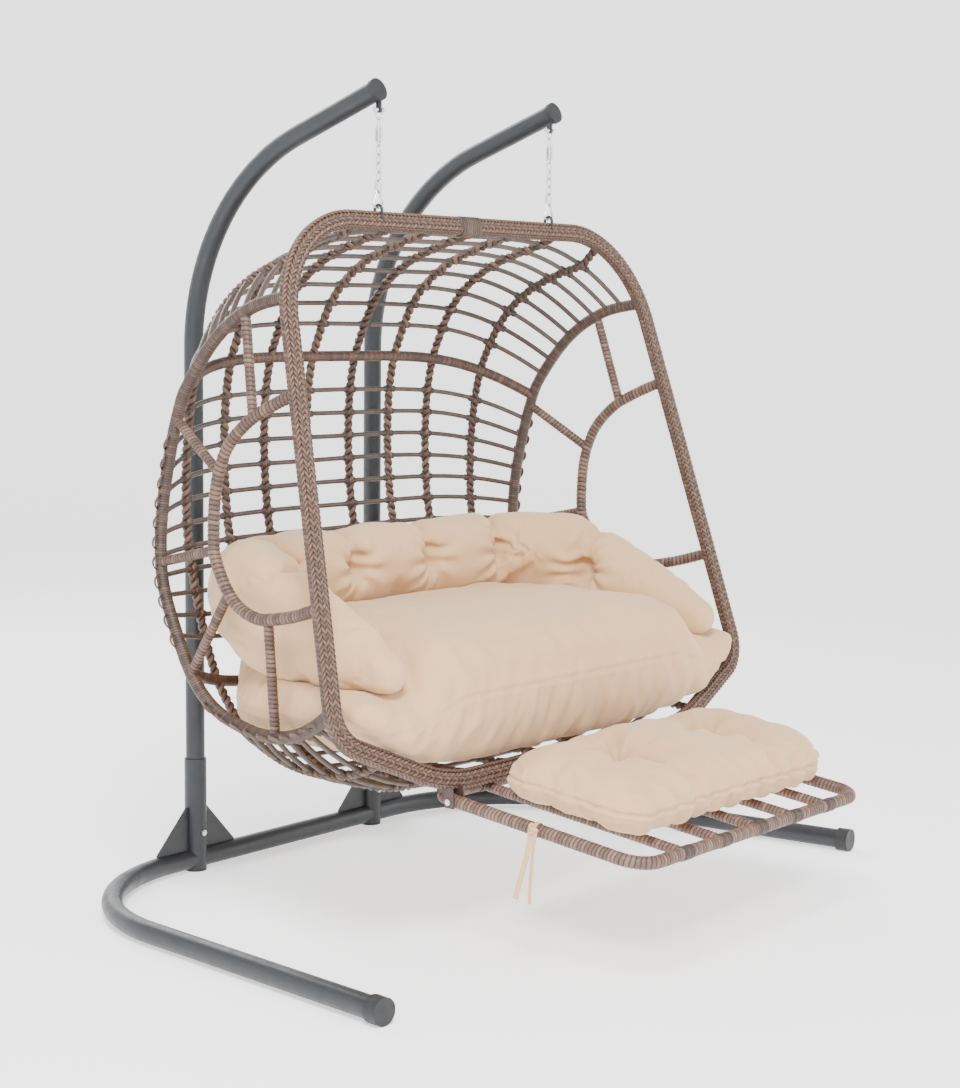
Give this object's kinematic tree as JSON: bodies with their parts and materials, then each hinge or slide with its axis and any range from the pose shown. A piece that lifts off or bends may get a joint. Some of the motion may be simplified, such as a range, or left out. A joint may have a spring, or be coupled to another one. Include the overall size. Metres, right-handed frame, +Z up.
{
  "type": "hanging egg chair",
  "caption": "Two-seat hanging wicker egg chair on a twin-arm tube stand, with seat cushion, wrap-round bolster and a hinged, cushioned footrest.",
  "frame": {"origin": "on the floor, under the centre of the whole object's bounding box", "axes": "+Z up; the chair faces -Y; +X runs across it to the left of a person sitting in it"},
  "size_m": [1.9398, 1.5172, 1.9551],
  "materials": {
    "stand_steel": "dark slate grey powder coat, satin",
    "frame_steel": "brown primer, hidden by the weave",
    "black_steel": "black powder coat",
    "black_plastic": "moulded, fine matt texture",
    "zinc": "bright zinc plate",
    "wicker": "woven brown mixed-tone resin wicker",
    "rod_wicker": "smooth taupe resin cane",
    "cloth": "plain woven cream polyester, padded"
  },
  "bodies": {
    "stand": {"arm_left": "stand_steel", "arm_right": "stand_steel", "socket_left": "stand_steel", "socket_right": "stand_steel", "base_leg_left": "stand_steel", "base_leg_right": "stand_steel", "base_crossbar": "stand_steel", "gussets_left": "stand_steel", "gussets_right": "stand_steel", "hanging_tabs": "stand_steel", "socket_feet": "black_plastic", "leg_caps": "black_plastic", "arm_caps": "black_plastic", "socket_bolts": "zinc", "socket_nuts": "zinc"},
    "left_hanger": {"shackle_left": "zinc", "shackle_pin_left": "zinc", "spring_upper_yoke_left": "zinc", "spring_left": "zinc"},
    "left_chain": {"spring_lower_yoke_left": "zinc", "chain_left": "zinc", "quick_link_left": "zinc", "delta_link_left": "zinc"},
    "right_hanger": {"shackle_right": "zinc", "shackle_pin_right": "zinc", "spring_upper_yoke_right": "zinc", "spring_right": "zinc"},
    "right_chain": {"spring_lower_yoke_right": "zinc", "chain_right": "zinc", "quick_link_right": "zinc", "delta_link_right": "zinc"},
    "basket": {"rim_frame": "frame_steel", "rim_band": "wicker", "basket_loops": "black_steel", "side_hoop_left": "wicker", "side_hoop_right": "wicker", "window_hoop_left": "wicker", "window_hoop_right": "wicker", "spokes_left": "wicker", "spokes_right": "wicker", "middle_tube": "wicker", "lower_tube": "wicker", "crown_rods": "rod_wicker", "back_rods": "rod_wicker", "lower_back_rods": "rod_wicker", "seat_rods": "rod_wicker", "wicker_ropes": "wicker", "seat_cushion": "cloth", "bolster": "cloth", "footrest_brackets": "black_steel", "footrest_bolts": "zinc", "footrest_nuts": "zinc"},
    "footrest": {"footrest_frame": "frame_steel", "footrest_wrap": "wicker", "footrest_slats": "wicker", "footrest_cushion": "cloth", "cushion_tie": "cloth"}
  },
  "joints": [
    {"name": "left_swing", "type": "hinge", "parent": "stand", "child": "left_hanger", "pos_m": [-0.325, 0.1166, 1.884], "axis": [1, 0, 0], "range_deg": [-18, 4]},
    {"name": "left_spring_bounce", "type": "slide", "parent": "left_hanger", "child": "left_chain", "axis": [0, 0, -1], "range_m": [0, 0.01], "stiffness_N_per_m": 60000, "springref_m": -0.012, "deforming": ["spring_left"]},
    {"name": "basket_tilt", "type": "hinge", "parent": "left_chain", "child": "basket", "pos_m": [-0.325, 0.1166, 1.6617], "axis": [1, 0, 0], "range_deg": [-4, 3]},
    {"name": "right_swing", "type": "hinge", "parent": "stand", "child": "right_hanger", "pos_m": [0.325, 0.1166, 1.884], "axis": [1, 0, 0], "range_deg": [-18, 4]},
    {"name": "right_spring_bounce", "type": "slide", "parent": "right_hanger", "child": "right_chain", "axis": [0, 0, -1], "range_m": [0, 0.01], "stiffness_N_per_m": 60000, "springref_m": -0.012, "deforming": ["spring_right"]},
    {"name": "footrest_lift", "type": "hinge", "parent": "basket", "child": "footrest", "pos_m": [-0.455, -0.2324, 0.343], "axis": [-1, 0, 0], "range_deg": [0, 25]}
  ],
  "couplings": [
    {"joint": "right_swing", "follows": "left_swing", "ratio": 1},
    {"joint": "right_spring_bounce", "follows": "left_spring_bounce", "ratio": 1}
  ]
}
